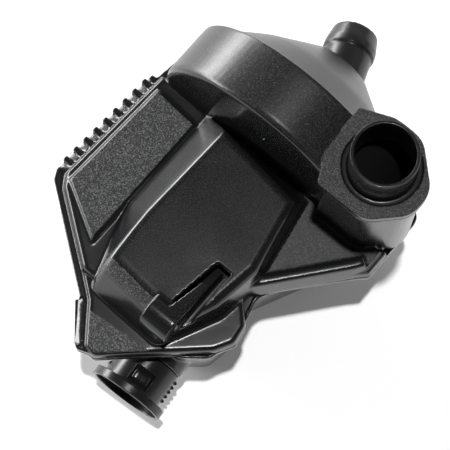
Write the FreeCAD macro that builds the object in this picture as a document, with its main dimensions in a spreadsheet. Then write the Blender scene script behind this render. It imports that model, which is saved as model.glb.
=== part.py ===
"""Crankcase vent valve with an oil separator, lying on its back.

Frame, in millimetres: +Z is up from the flat back, +Y runs along the regulator's axis towards its
hose nipple, and +X points to the inlet duct. The origin lies on the back's plane, under the
regulator's axis, where the drum's floor meets the separator body.
"""
import FreeCAD, Part
import Sketcher
import math
import os

V = FreeCAD.Vector
doc = FreeCAD.newDocument("VentValve")
sheet = doc.addObject("Spreadsheet::Sheet", "Sizes")

SIZES = {
    # regulator drum
    "drum_radius": 39.5, "ground_gap": 0.5, "drum_height": 19.2, "drum_wall": 2.8,
    "drum_floor": 2.5, "drum_edge_round": 2.4, "rim_round": 0.7,
    "cap_ledge": 4.0, "cap_ledge_width": 1.0, "cap_fit": 0.05,
    "ring_gap": 8.5, "ring_wall": 2.5, "ring_height": 10.0,
    "stop_radius": 11.0, "stop_wall": 2.0, "riser_angle": 70.0, "riser_margin": 1.6,
    "vent_radius": 0.8, "vent_offset": 21.0,
    # cap and hose nipple
    "cap_wall": 2.4, "cap_rise": 19.3, "cap_shoulder_run": 13.5, "cap_shoulder_rise": 9.2,
    "cap_top_radius": 10.5, "cap_crown_round": 40.0, "cap_lip": 0.4,
    "nipple_radius": 7.8, "nipple_bore": 6.0, "nipple_lean_x": 21.0, "nipple_lean_z": 14.0,
    "nipple_shift": 1.7, "nipple_length": 17.1, "nipple_root": 2.5, "barb_radius": 8.4, "barb_length": 8.0,
    "barb_land": 2.6, "nipple_tip_radius": 7.4, "seat_radius": 7.6, "seat_bore": 5.6,
    "spring_seat_rise": 12.0, "spring_seat_radius": 14.0, "post_radius": 1.5, "post_count": 6,
    "post_turn": 15.0,
    # diaphragm, plates and spring
    "bead_thick": 2.4, "bead_width": 2.6, "film": 0.9, "lobe_depth": 4.2, "lobe_clear": 1.2,
    "lobe_room": 13.0, "plate_thick": 2.0, "backing_thick": 2.0, "travel": 5.0, "seat_gap": 0.4,
    "spring_radius": 11.2, "wire_radius": 0.65, "spring_turns": 5.0, "rest_gap": 0.02,
    "clamp_thick": 2.0, "clamp_skirt": 1.2, "clamp_hook": 2.0, "clamp_fit": 0.1, "stud_radius": 3.0,
    "stud_fit": 0.05, "guide_radius": 9.6, "guide_wall": 1.0, "guide_rise": 1.2,
    # housing levels and walls
    "wall": 2.5, "seam_drop": 6.0, "flange_width": 3.2, "flange_thick": 2.6, "hip_lip": 0.8, "chin_lip": 2.0,
    "base_rise": 4.2, "base_side": 2.2, "base_edge": 0.5, "base_round": 1.3, "base_corner": 2.6,
    "slab_rise": 7.0, "slab_draft": 12.0, "slab_round": 1.6, "slab_out": 0.4, "slab_corner": 3.5,
    "slab_end_x": 19.0, "slab_end_y": 62.9, "strip_foot": 3.4, "strip_top": 0.9, "back_inset": 3.6,
    "back_corner": 5.0, "back_round": 4.0, "shallow_depth": 3.2,
    # seam outline of the body
    "left_margin": 2.0, "left_flare": 2.3, "left_low_y": 42.5, "hip_step": 2.8, "hip_y": 46.8,
    "sump_left_x": 13.4, "sump_left_y": 67.8, "tip_left_x": 4.6, "tip_left_y": 79.2, "tip_right_x": 0.8,
    "tip_y": 80.2, "lobe_low_x": 28.0, "lobe_low_y": 55.0, "lobe_x": 31.2, "lobe_y": 49.2, "lobe_top_x": 30.2,
    "lobe_top_y": 42.9, "waist_x": 23.0, "waist_y": 35.6, "web_step": 3.2, "web_y": 9.4,
    "duct_reach": 9.1, "duct_low_y": 6.0, "duct_top_y": 20.0,
    # seam outline of the deep rear shell
    "drain_face_y": 63.5, "drain_face_left": 16.0, "drain_face_right": 20.0, "sump_x": 28.0, "sump_y": 57.0,
    "shell_lobe_x": 30.0, "shell_lobe_y": 46.0, "bulge_x": 26.8, "bulge_y": 33.5, "shell_web_step": 7.0,
    # ribs on the weld flange
    "peg_count": 9, "peg_pitch": 4.36, "peg_radius": 1.0, "peg_start": 3.4, "peg_length": 4.8,
    "peg_overhang": 0.6,
    # textured panel
    "panel_margin": 1.25, "panel_top_left": 2.0, "panel_top_right": 3.5, "panel_right": 20.3,
    "panel_lean": 1.9, "panel_low_left": 44.3, "panel_low_right": 56.4, "panel_rise": 1.4,
    "panel_slope": 40.0,
    # front chamber
    "box_rise": 18.0, "box_ridge_y": 2.8, "box_ridge_drop": 4.2, "box_left": 11.6,
    "box_left_low": 13.2, "box_knee_x": 13.0, "box_knee_y": 37.0,
    "box_end_y": 60.5, "box_end_skew": 3.2, "box_end_right": 15.8,
    "box_right": 23.6, "box_right_y": 30.0, "box_right_low": 21.4, "box_right_low_y": 46.0,
    "box_ridge_right": 18.7, "box_left_slope": 16.4, "box_end_run": 6.6, "box_end_in": 3.0,
    "box_right_slope": 1.8, "box_corner": 3.0, "box_end_round": 8.0,
    # bolt lug in its slot
    "lug_left": 6.2, "lug_right": 16.0, "lug_y": 58.8, "lug_radius": 5.6, "lug_drop": 3.4,
    "gusset_tip_y": 37.5, "gusset_tip_width": 1.6, "gusset_root_width": 5.4, "gusset_fall": 3.6,
    "slot_width": 2.6, "slot_length": 22.0, "slot_depth": 6.0, "slot_head": 1.6, "slot_left": 1.4,
    # webbed side
    "web_drop": 8.6, "web_recess": 2.6, "web_rim": 3.0, "rim_across": 3.9, "rim_along": 3.2, "web_round": 0.9,
    "web_draft": 6.0,
    # inlet duct, plate and spigot
    "inlet_inset": 4.5, "inlet_y": 11.5, "plate_sink": 1.5, "cover_thick": 2.8, "duct_inset": 1.4,
    "duct_lip": 1.6, "duct_gap": 0.8, "tip_gap": 0.57, "plate_tip_y": 9.5, "plate_bulge": 1.5,
    "plate_bulge_y": 8.0, "plate_heel_x": 11.1, "plate_low": 16.0, "plate_low_x": 6.0,
    "plate_right": 15.7, "plate_right_low": 6.0, "plate_right_up": 3.0, "plate_top": 14.0,
    "plate_top_x": 4.0, "plate_round": 8.4, "plate_heel_round": 7.0, "plate_tip_round": 1.0,
    "spigot_radius": 10.0, "spigot_bore": 8.9, "spigot_length": 12.0,
    "groove_width": 2.0, "groove_depth": 1.2, "tab_lift": 27.0, "tab_round": 4.0, "tab_fit": 0.1,
    # separator baffle
    "rebate": 1.2, "baffle_thick": 2.0, "baffle_fit": 0.1, "baffle_hole": 2.5, "baffle_cols": 4,
    "baffle_rows": 3, "baffle_pitch": 9.0, "baffle_margin": 6.5, "baffle_start_y": 12.0,
    # drain
    "drain_x": 11.9, "drain_drop": 16.8, "drain_lean": 4.5, "stub_radius": 8.9, "stub_bore": 5.6,
    "stub_length": 15.0, "root_radius": 10.4, "root_length": 3.0, "root_depth": 9.0,
    "collar_radius": 10.0, "collar_fit": 0.1, "collar_start": 3.2, "collar_end": 17.2, "collar_turn": -12.0,
    "lip_radius": 12.6, "lip_thick": 2.8, "lip_bore": 11.4, "mouth_depth": 2.4, "window_width": 7.0,
    "window_length": 5.6, "window_offset": 4.8, "nub_width": 5.6, "nub_length": 3.4, "nub_rise": 0.9,
    "grip_count": 5, "grip_pitch": 1.7, "grip_radius": 0.55, "grip_start": 5.0, "grip_length": 5.0,
    "seal_wire": 0.9, "seal_inset": 8.0, "seal_room": 0.05,
}
# sizes that follow from others: levels from the axis, widths from the drum
TIED = {
    "axis_height": "drum_radius + ground_gap",
    "seam_height": "axis_height - seam_drop",
    "slab_height": "seam_height + slab_rise",
    "box_height": "seam_height + box_rise",
    "web_height": "box_height - web_drop",
    "plate_height": "axis_height + drum_radius - plate_sink",
    "drain_z": "seam_height - drain_drop",
    "tab_depth": "seam_height - tab_lift",
    "left_top_x": "drum_radius + left_margin",
    "left_low_x": "left_top_x + left_flare",
    "hip_x": "left_low_x - hip_step",
    "panel_left": "left_top_x - panel_margin",
    "duct_x": "drum_radius + duct_reach",
    "web_x": "duct_x - web_step",
    "shell_web_x": "web_x - shell_web_step",
    "baffle_start_x": "left_top_x - baffle_margin",
    "inlet_x": "drum_radius - inlet_inset",
    "plate_drop": "plate_sink + cover_thick",
    "plate_left": "inlet_x - tip_gap - sqrt(plate_drop * (2 * drum_radius - plate_drop))",
    "ring_radius": "drum_radius - ring_gap",
    "plate_radius": "ring_radius - lobe_room",
    "cap_shoulder_radius": "drum_radius - cap_shoulder_run",
}
for number, (alias, value) in enumerate(SIZES.items(), start=1):
    sheet.set("A%d" % number, alias)
    sheet.set("B%d" % number, str(value))
    sheet.setAlias("B%d" % number, alias)
for number, (alias, formula) in enumerate(TIED.items(), start=1):
    sheet.set("C%d" % number, alias)
    sheet.set("D%d" % number, "=" + formula)
    sheet.setAlias("D%d" % number, alias)
doc.recompute()


def size(alias):
    return float(sheet.get(alias))


def cells(text):
    """Writes the sheet's name before each alias of an expression."""
    out = []
    word = ""
    for sign in text + " ":
        if sign.isalnum() or sign == "_":
            word += sign
            continue
        out.append("Sizes." + word if word in SIZES or word in TIED else word)
        out.append(sign)
        word = ""
    return "".join(out).strip()


def bind(thing, **sizes):
    for prop, text in sizes.items():
        thing.setExpression(prop.replace("__", "."), cells(text))
    return thing


def outline(name, points, height=None, placement=None):
    """A closed sketch of straight lines, each corner bound to the sheet."""
    sketch = doc.addObject("Sketcher::SketchObject", name)
    spots = []
    for x_text, y_text in points:
        spots.append(V(float(number_of(x_text)), float(number_of(y_text)), 0))
    count = len(points)
    for i in range(count):
        sketch.addGeometry(Part.LineSegment(spots[i], spots[(i + 1) % count]), False)
    for i in range(count):
        sketch.addConstraint(Sketcher.Constraint("Coincident", i, 2, (i + 1) % count, 1))
    for i, (x_text, y_text) in enumerate(points):
        for kind, text, value in (("DistanceX", x_text, spots[i].x), ("DistanceY", y_text, spots[i].y)):
            index = sketch.addConstraint(Sketcher.Constraint(kind, -1, 1, i, 1, value))
            sketch.setExpression("Constraints[%d]" % index, cells(text))
    if placement is not None:
        sketch.Placement = placement
    if height is not None:
        bind(sketch, Placement__Base__z=height)
    return sketch


def number_of(text):
    """The number that an expression of aliases stands for now."""
    return doc.Sizes.evalExpression(cells(text))


def inset(name, source, amount):
    ring = doc.addObject("Part::Offset2D", name)
    ring.Source = source
    ring.Mode = "Pipe"
    ring.Join = "Intersection"
    return bind(ring, Value=amount)


def prism(name, source, length, draft="0", down=False):
    body = doc.addObject("Part::Extrusion", name)
    body.Base = source
    body.DirMode = "Custom"
    body.Dir = V(0, 0, -1) if down else V(0, 0, 1)
    body.Solid = True
    return bind(body, LengthFwd=length, TaperAngle=draft)


def turned(name, sketch, axis=V(0, 1, 0), base=None):
    body = doc.addObject("Part::Revolution", name)
    body.Source = sketch
    body.Axis = axis
    body.Angle = 360
    body.Solid = True
    if base is None:
        bind(body, Base__z="axis_height")
    else:
        body.Base = base
    return body


def loft(name, low, high):
    body = doc.addObject("Part::Loft", name)
    body.Sections = [low, high]
    body.Solid = True
    body.Ruled = True
    return body


def rounded(name, source, radius_of):
    """Rounds each edge of a solid by the radius that the rule gives it, if any."""
    doc.recompute()
    fillet = doc.addObject("Part::Fillet", name)
    fillet.Base = source
    picked = []
    for number, edge in enumerate(source.Shape.Edges, start=1):
        radius = radius_of(edge)
        if radius:
            picked.append((number, radius, radius))
    fillet.Edges = picked
    return fillet


def fuse(name, *things):
    body = doc.addObject("Part::MultiFuse", name)
    body.Shapes = list(things)
    return body


def cut(name, base, tool):
    body = doc.addObject("Part::Cut", name)
    body.Base = base
    body.Tool = tool
    return body


def block(name, length, width, height, placement=None, **where):
    box = doc.addObject("Part::Box", name)
    if placement is not None:
        box.Placement = placement
    return bind(box, Length=length, Width=width, Height=height, **where)


def rod(name, radius, height, placement):
    body = doc.addObject("Part::Cylinder", name)
    body.Placement = placement
    return bind(body, Radius=radius, Height=height)


def level(edge, height):
    return all(abs(v.Z - height) < 1e-4 for v in edge.Vertexes)


def upright(edge):
    if len(edge.Vertexes) < 2:
        return False
    first, last = edge.Vertexes[0].Point, edge.Vertexes[1].Point
    return abs(first.z - last.z) > 0.5


AXIS = FreeCAD.Rotation(V(1, 0, 0), -90)
ALONG_X = FreeCAD.Rotation(V(0, 1, 0), 90)


def on_axis(offset):
    """Placement of a rod along the regulator's axis, its foot the given distance above the floor."""
    return FreeCAD.Placement(V(0, offset, size("axis_height")), AXIS)


# Outlines of the body from the drum's left to its right; the base's top is drawn in at its sides and edges
def body_points(top, side="0", edge="0"):
    points = [
        ("-left_top_x + " + side, top), ("-left_low_x + " + side, "-left_low_y"),
        ("-hip_x + " + side, "-hip_y + " + edge), ("-sump_left_x + " + side, "-sump_left_y + " + edge),
        ("-tip_left_x + " + side, "-tip_left_y + " + edge), ("tip_right_x", "-tip_y + " + edge)]
    for corner in ("lobe_low", "lobe", "lobe_top", "waist", "web"):
        points.append((corner + "_x - " + edge, "-" + corner + "_y"))
    return points + [("duct_x - " + edge, "-duct_low_y"), ("duct_x - " + edge, top)]


seam = outline("SeamOutline", body_points("0"), "seam_height")


def shell_points(top):
    return [
        ("-left_top_x", top), ("-left_low_x", "-left_low_y"), ("-drain_face_left", "-drain_face_y"),
        ("drain_face_right", "-drain_face_y"), ("sump_x", "-sump_y"), ("shell_lobe_x", "-shell_lobe_y"),
        ("bulge_x", "-bulge_y"), ("shell_web_x", "-web_y"), ("shell_web_x", top)]


deep = outline("DeepOutline", shell_points("0"), "seam_height")
# weld flange: wide beside the ribs, a narrow lip at the hip and chin, none elsewhere
flange_edge = outline("FlangeOutline", [
    ("-left_top_x - flange_width", "0"), ("-left_low_x - flange_width", "-left_low_y"),
    ("-left_low_x - flange_width / 2", "-left_low_y - flange_width"),
    ("-sump_left_x - hip_lip", "-sump_left_y - hip_lip"),
    ("-sump_left_x - chin_lip", "-sump_left_y - chin_lip"),
    ("-tip_left_x - chin_lip", "-tip_left_y - chin_lip / 2"), ("-tip_left_x", "-tip_y - chin_lip / 2"),
    ("tip_right_x", "-tip_left_y"), ("0", "-drain_face_y"), ("0", "0")], "seam_height")


def drum_rounding(edge):
    if edge.BoundBox.YMax < 1e-4 and edge.Length > size("drum_radius"):
        return size("drum_edge_round")
    if edge.BoundBox.YMin > size("drum_height") - 1e-4 and edge.Length > size("drum_radius"):
        return size("rim_round")
    return 0


def crown_rounding(edge):
    """The cap's shoulder, where its cone gets steeper."""
    shoulder = size("drum_height") + size("cap_shoulder_rise")
    if abs(edge.CenterOfMass.y - shoulder) < 1e-3 and edge.Length > size("cap_shoulder_radius"):
        return size("cap_crown_round")
    return 0


def chamber_rounding(edge):
    if upright(edge) and edge.BoundBox.YMax < 0:
        return size("box_corner")
    if not level(edge, size("box_height")):
        return 0
    if edge.CenterOfMass.y < -size("box_end_y") + size("box_end_skew"):
        return size("box_end_round")
    return size("box_corner")


def base_rounding(edge):
    """Corners of the chin and the lobe, and the base's upper edge."""
    if upright(edge):
        return size("base_corner") if edge.BoundBox.YMax < -size("waist_y") else 0
    return size("base_round") if level(edge, size("seam_height") + size("base_rise")) else 0


def shell_rounding(edge):
    """Corners and back edge of the rear shell, but not where it meets the drum."""
    if upright(edge):
        return size("back_corner") if edge.BoundBox.YMax < -size("wall") else 0
    return size("back_round") if level(edge, 0) and edge.BoundBox.YMin < -size("wall") else 0


def plate_rounding(edge):
    """Wide corners on the plate's right and top, small ones at its two left points."""
    if not upright(edge):
        return 0
    spot = edge.CenterOfMass
    if spot.x > size("inlet_x") - size("plate_heel_x") + 1:
        return size("plate_round")
    if abs(spot.y - size("inlet_y") + size("plate_bulge_y")) < 1:
        return size("plate_heel_round")
    return size("plate_tip_round")


# Regulator drum: a cup with a ledge for the cap, a ring wall for the diaphragm and a stop ring
cup_outer = rounded("DrumOuter", turned("DrumBlank", outline("DrumBlankProfile", [
    ("0", "0"), ("drum_radius", "0"), ("drum_radius", "drum_height"), ("0", "drum_height")],
    "axis_height")), drum_rounding)
cup_room = turned("DrumRoom", outline("DrumRoomProfile", [
    ("0", "drum_floor"), ("drum_radius - drum_wall", "drum_floor"),
    ("drum_radius - drum_wall", "drum_height - cap_ledge"),
    ("drum_radius - drum_wall + cap_ledge_width", "drum_height - cap_ledge"),
    ("drum_radius - drum_wall + cap_ledge_width", "drum_height + duct_gap"),
    ("0", "drum_height + duct_gap")], "axis_height"))
ring_wall = turned("RingWall", outline("RingWallProfile", [
    ("ring_radius - ring_wall", "drum_floor / 2"), ("ring_radius", "drum_floor / 2"),
    ("ring_radius", "ring_height"), ("ring_radius - ring_wall", "ring_height")], "axis_height"))
stop_ring = turned("StopRing", outline("StopRingProfile", [
    ("stop_radius - stop_wall", "drum_floor / 2"), ("stop_radius", "drum_floor / 2"),
    ("stop_radius", "ring_height + bead_thick / 2 - film / 2 - backing_thick - rest_gap"),
    ("stop_radius - stop_wall", "ring_height + bead_thick / 2 - film / 2 - backing_thick - rest_gap")],
    "axis_height"))
riser = turned("RiserSlot", outline("RiserProfile", [
    ("ring_radius + riser_margin", "-drum_floor"),
    ("drum_radius - drum_wall - riser_margin", "-drum_floor"),
    ("drum_radius - drum_wall - riser_margin", "drum_floor * 2"),
    ("ring_radius + riser_margin", "drum_floor * 2")], "axis_height"))
riser.Angle = size("riser_angle")
riser.Placement = FreeCAD.Placement(V(0, 0, 0), FreeCAD.Rotation(V(0, 1, 0), 90 - size("riser_angle") / 2),
                                    V(0, 0, size("axis_height")))
vent = rod("VentHole", "vent_radius", "drum_floor * 3",
           FreeCAD.Placement(V(0, -size("drum_floor"), size("axis_height") + size("vent_offset")), AXIS))
drum_clear = rod("DrumClearance", "drum_radius + tab_fit", "drum_height * 3", on_axis(0))

# Front housing: solid forms over the seam, then their rooms
flange = prism("FrontFlange", flange_edge, "flange_thick")
strip = prism("DrumStrip", outline("DrumStripOutline", [
    ("-drum_radius - strip_foot", "0"), ("-drum_radius / 2", "0"),
    ("-drum_radius / 2", "drum_height - rim_round"),
    ("-drum_radius - strip_top", "drum_height - rim_round")], "seam_height"), "flange_thick")
base_top = outline("BaseTop", body_points("drum_floor", "base_side", "base_edge"), "seam_height + base_rise")
base_foot = outline("BaseOutline", body_points("drum_floor"), "seam_height")
base = rounded("BaseRounded", loft("BaseForm", base_foot, base_top), base_rounding)
base_room = prism("BaseRoom", inset("BaseRoomOutline", seam, "-wall - base_side / 2"), "base_rise - wall")
slab_outline = outline("SlabOutline", [
    ("-left_top_x - slab_out", "drum_floor * 0.8"), ("-left_low_x - slab_out", "-left_low_y"),
    ("-hip_x - slab_out / 2", "-hip_y"), ("-slab_end_x", "-slab_end_y"), ("0", "-slab_end_y"),
    ("0", "drum_floor * 0.8")], "seam_height")
slab_form = prism("SlabForm", slab_outline, "slab_height - seam_height", "-slab_draft")
slab_sides = rounded("SlabSides", slab_form, lambda e: size("slab_corner")
                     if upright(e) and e.BoundBox.XMax < -1 and e.BoundBox.YMax < -1 else 0)
slab = rounded("SlabRounded", slab_sides, lambda e: size("slab_round")
               if level(e, size("slab_height")) and e.BoundBox.XMin < -1 else 0)
slab_room = prism("SlabRoom", inset("SlabRoomOutline", slab_outline, "-wall"),
                  "slab_height - seam_height - wall", "-slab_draft")
panel_form = prism("PanelForm", outline("PanelOutline", [
    ("-panel_left", "-panel_top_left"), ("-panel_left - panel_lean", "-panel_low_left"),
    ("-panel_right", "-panel_low_right"), ("-panel_right", "-panel_top_right")],
    "slab_height - panel_rise"), "panel_rise * 2", "-panel_slope")
box_low = outline("BoxFoot", [
    ("-box_left - box_left_slope", "drum_floor * 0.6"),
    ("-box_left - box_left_slope", "-box_knee_y"),
    ("-box_left_low", "-box_end_y - box_end_run"),
    ("box_end_right - box_end_in", "-box_end_y - box_end_run"),
    ("box_right_low + box_right_slope", "-box_right_low_y"),
    ("box_right + box_right_slope", "-box_right_y"),
    ("box_ridge_right + box_right_slope", "drum_floor * 0.6")], "seam_height")
box_high = outline("BoxFace", [
    ("-box_left", "-box_ridge_y"), ("-box_knee_x", "-box_knee_y"),
    ("-box_left_low", "-box_end_y + box_end_skew"), ("box_end_right", "-box_end_y"),
    ("box_right_low", "-box_right_low_y"), ("box_right", "-box_right_y"),
    ("box_ridge_right", "-box_ridge_y - box_ridge_drop")], "box_height")
box = rounded("BoxRounded", loft("BoxForm", box_low, box_high), chamber_rounding)
box_room_low = inset("BoxRoomFoot", box_low, "-wall")
box_room_high = inset("BoxRoomFace", outline("BoxRoomFaceOutline", [
    ("-box_left", "-box_ridge_y"), ("-box_knee_x", "-box_knee_y"),
    ("-box_left_low", "-box_end_y + box_end_skew + wall"), ("box_end_right", "-box_end_y + wall"),
    ("box_right_low", "-box_right_low_y"), ("box_right", "-box_right_y"),
    ("box_ridge_right", "-box_ridge_y - box_ridge_drop")], "box_height - wall"), "-wall")
box_room = loft("BoxRoom", box_room_low, box_room_high)
web_outline = outline("WebOutline", [
    ("box_ridge_right - web_rim", "drum_floor * 0.6"), ("box_ridge_right - web_rim", "-waist_y"),
    ("waist_x + web_rim / 3", "-waist_y"), ("web_x", "-web_y"),
    ("duct_x - web_rim / 3", "-duct_low_y"), ("duct_x - web_rim / 3", "drum_floor * 0.6")], "seam_height")
web = prism("WebForm", web_outline, "web_height - web_recess - seam_height", "-web_draft")
web_bar = rounded("WebRim", prism("WebRimForm", outline("WebRimOutline", [
    ("waist_x + web_rim / 3", "-waist_y"), ("web_x", "-web_y"), ("duct_x - web_rim / 3", "-duct_low_y"),
    ("duct_x - web_rim / 3 - rim_across", "-duct_low_y + rim_along"),
    ("web_x - rim_across", "-web_y + rim_along"),
    ("waist_x + web_rim / 3 - rim_across", "-waist_y + rim_along")], "seam_height"),
    "web_height - seam_height", "-web_draft"),
    lambda e: size("web_round") if level(e, size("web_height")) else 0)
web_room = prism("WebRoom", inset("WebRoomOutline", web_outline, "-wall"),
                 "web_height - web_recess - seam_height - wall", "-web_draft")

# Inlet duct under the plate
plate_points = [
    ("inlet_x - plate_left", "inlet_y + plate_tip_y"),
    ("inlet_x - plate_left + plate_bulge", "inlet_y - plate_bulge_y"),
    ("inlet_x - plate_heel_x", "inlet_y - plate_low"), ("inlet_x + plate_low_x", "inlet_y - plate_low"),
    ("inlet_x + plate_right", "inlet_y - plate_right_low"),
    ("inlet_x + plate_right", "inlet_y + plate_right_up"),
    ("inlet_x + plate_top_x", "inlet_y + plate_top"), ("inlet_x - plate_top_x * 1.5", "inlet_y + plate_top")]
plate_outline = outline("PlateOutline", plate_points, "plate_height - cover_thick")
cover_plate = rounded("CoverPlate", prism("CoverBlank", plate_outline, "cover_thick"), plate_rounding)
duct_outline = inset("DuctOutline", outline("DuctEdge", plate_points, "seam_height"), "-duct_inset")
duct_form = rounded("DuctForm", prism("DuctBlank", duct_outline,
                    "plate_height - cover_thick - seam_height"), plate_rounding)
lip_form = rounded("DuctLip", prism("DuctLipBlank", outline("DuctLipOutline", plate_points,
                   "plate_height - cover_thick - duct_lip"), "duct_lip"), plate_rounding)
cap_path = rod("CapPath", "drum_radius + duct_gap", "drum_height * 2", on_axis(size("drum_height")))
duct = cut("Duct", fuse("DuctSolid", duct_form, lip_form), cap_path)
duct_room_form = prism("DuctRoomForm", inset("DuctRoomOutline", duct_outline, "-wall"),
                       "plate_height - cover_thick - seam_height")
drum_shield = rod("DrumShield", "drum_radius + wall", "drum_height * 3", on_axis(-size("wall")))
duct_room = cut("DuctRoom", duct_room_form, drum_shield)

# Bolt lug with its gusset, in a slot of the front chamber
lug = rod("Lug", "lug_radius", "lug_right - lug_left", FreeCAD.Placement(
    V(size("lug_left"), -size("lug_y"), size("box_height") - size("lug_drop")), ALONG_X))
gusset = doc.addObject("Part::Wedge", "Gusset")
bind(gusset, Ymin="-lug_y", Ymax="-gusset_tip_y", Xmin="lug_right - gusset_root_width", Xmax="lug_right",
     X2min="lug_right - gusset_tip_width", X2max="lug_right", Zmin="box_height - slot_depth - wall / 2",
     Zmax="box_height - lug_drop + lug_radius", Z2min="box_height - slot_depth - wall / 2",
     Z2max="box_height - lug_drop + lug_radius - gusset_fall")
slot_points = [
    ("lug_right - gusset_tip_width - slot_left", "-gusset_tip_y + slot_head"),
    ("lug_right - gusset_root_width - slot_left / 2", "-gusset_tip_y + slot_head - slot_length"),
    ("lug_right + slot_width", "-gusset_tip_y + slot_head - slot_length"),
    ("lug_right + slot_width", "-gusset_tip_y + slot_head")]
slot = prism("LugSlot", outline("SlotOutline", slot_points, "box_height - slot_depth"), "slot_depth * 2")
slot_bed = prism("SlotBed", outline("SlotBedOutline", slot_points, "box_height - slot_depth"), "wall",
                 down=True)
slot_floor = doc.addObject("Part::MultiCommon", "SlotFloor")
slot_floor.Shapes = [slot_bed, box]

# Short ribs across the weld flange on the left
pegs = []
for place in range(int(size("peg_count"))):
    down = size("peg_start") + place * size("peg_pitch")
    share = down / size("left_low_y")
    edge_x = size("left_top_x") + share * (size("left_low_x") - size("left_top_x")) + size("flange_width")
    spot = V(-edge_x - size("peg_overhang"), -down, size("seam_height") + size("flange_thick"))
    pegs.append(rod("Peg%d" % (place + 1), "peg_radius", "peg_length", FreeCAD.Placement(spot, ALONG_X)))

solid = fuse("FrontSolid", flange, strip, base, slab, panel_form, box, web, web_bar, duct,
             cup_outer, *pegs)
hollowed = cut("FrontHollow", solid,
               fuse("FrontRooms", base_room, slab_room, box_room, web_room, duct_room, cup_room, riser, vent))
slotted = cut("FrontSlotted", hollowed, slot)
front_housing = fuse("FrontHousing", slotted, slot_floor, lug, gusset, ring_wall, stop_ring)
front_housing.Label = "front_housing"

# Inlet cover: plate and spigot
spigot = rod("Spigot", "spigot_radius", "spigot_length + cover_thick / 2", FreeCAD.Placement(
    V(size("inlet_x"), size("inlet_y"), size("plate_height") - size("cover_thick") / 2), FreeCAD.Rotation()))
spigot_hole = rod("SpigotHole", "spigot_bore", "spigot_length + cover_thick * 3", FreeCAD.Placement(
    V(size("inlet_x"), size("inlet_y"), size("plate_height") - size("cover_thick") * 2), FreeCAD.Rotation()))
groove_ring = cut("GrooveRing", rod("GrooveOuter", "spigot_radius + groove_width", "cover_thick",
    FreeCAD.Placement(V(size("inlet_x"), size("inlet_y"), size("plate_height") - size("groove_depth")),
    FreeCAD.Rotation())), rod("GrooveInner", "spigot_radius", "cover_thick * 3",
    FreeCAD.Placement(V(size("inlet_x"), size("inlet_y"), size("plate_height") - size("cover_thick")),
    FreeCAD.Rotation())))
inlet_cover = cut("InletCover", fuse("InletSolid", cut("GroovedPlate", cover_plate, groove_ring), spigot),
                  spigot_hole)
inlet_cover.Label = "inlet_cover"

# Rear housing: shallow tray under the flange, deep shell, duct end and drain stub
rear_flange = prism("RearFlange", flange_edge, "flange_thick", down=True)
shallow = prism("ShallowTray", seam, "shallow_depth", down=True)
deep_foot = inset("DeepFoot", outline("DeepFootOutline", shell_points("back_inset")), "-back_inset")
deep_shell = rounded("DeepShell", loft("DeepForm", deep, deep_foot), shell_rounding)
room_foot = inset("DeepRoomFoot", outline("DeepRoomFootOutline", shell_points("back_inset"), "wall"),
                  "-back_inset - wall")
deep_room = loft("DeepRoom", inset("DeepRoomOutline", deep, "-wall"), room_foot)
deep_rebate = prism("DeepRebate", inset("RebateOutline", deep, "rebate - wall"), "baffle_thick", down=True)
tab = rounded("DuctTab", block("DuctTabBlank", "duct_x - drum_radius / 2", "duct_top_y + duct_low_y",
    "tab_depth", Placement__Base__x="drum_radius / 2", Placement__Base__y="-duct_low_y",
    Placement__Base__z="seam_height - tab_depth"), lambda e: size("tab_round")
    if e.BoundBox.ZMax < size("seam_height") - 1 and e.BoundBox.XMax > size("drum_radius")
    or upright(e) and e.BoundBox.XMin > size("drum_radius") and e.BoundBox.YMin > 1 else 0)
riser_window = block("RiserWindow", "2 * drum_radius * sin(riser_angle / 2)", "wall * 2",
                     "axis_height - ring_radius * cos(riser_angle / 2) - wall",
                     Placement__Base__x="-drum_radius * sin(riser_angle / 2)",
                     Placement__Base__y="-wall * 1.5", Placement__Base__z="wall")
tab_room = block("TabRoom", "duct_x - wall - drum_radius - tab_fit - wall", "duct_top_y - wall * 2",
                 "tab_depth", Placement__Base__x="drum_radius + tab_fit + wall", Placement__Base__y="wall",
                 Placement__Base__z="seam_height - tab_depth + wall")


# Drain: a stub that leans out of the sump, and its frame
drain_base = V(size("drain_x"), -size("drain_face_y"), size("drain_z"))
drain_turn = FreeCAD.Rotation(V(0, 0, 1), 180 + size("drain_lean"))
drain_frame = FreeCAD.Placement(drain_base, drain_turn)
drain_axis = drain_turn.multVec(V(0, 1, 0))
COLLAR_TURN = FreeCAD.Rotation(V(0, 1, 0), size("collar_turn"))


def drain_turned(name, points):
    return turned(name, outline(name + "Profile", points, None, drain_frame), drain_axis, drain_base)


def drain_place(x, y, z):
    """A place in the drain's frame, turned about its axis as the collar is."""
    turned_frame = drain_frame.multiply(FreeCAD.Placement(V(0, 0, 0), COLLAR_TURN))
    return turned_frame.multiply(FreeCAD.Placement(V(x, y, z), FreeCAD.Rotation()))


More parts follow.
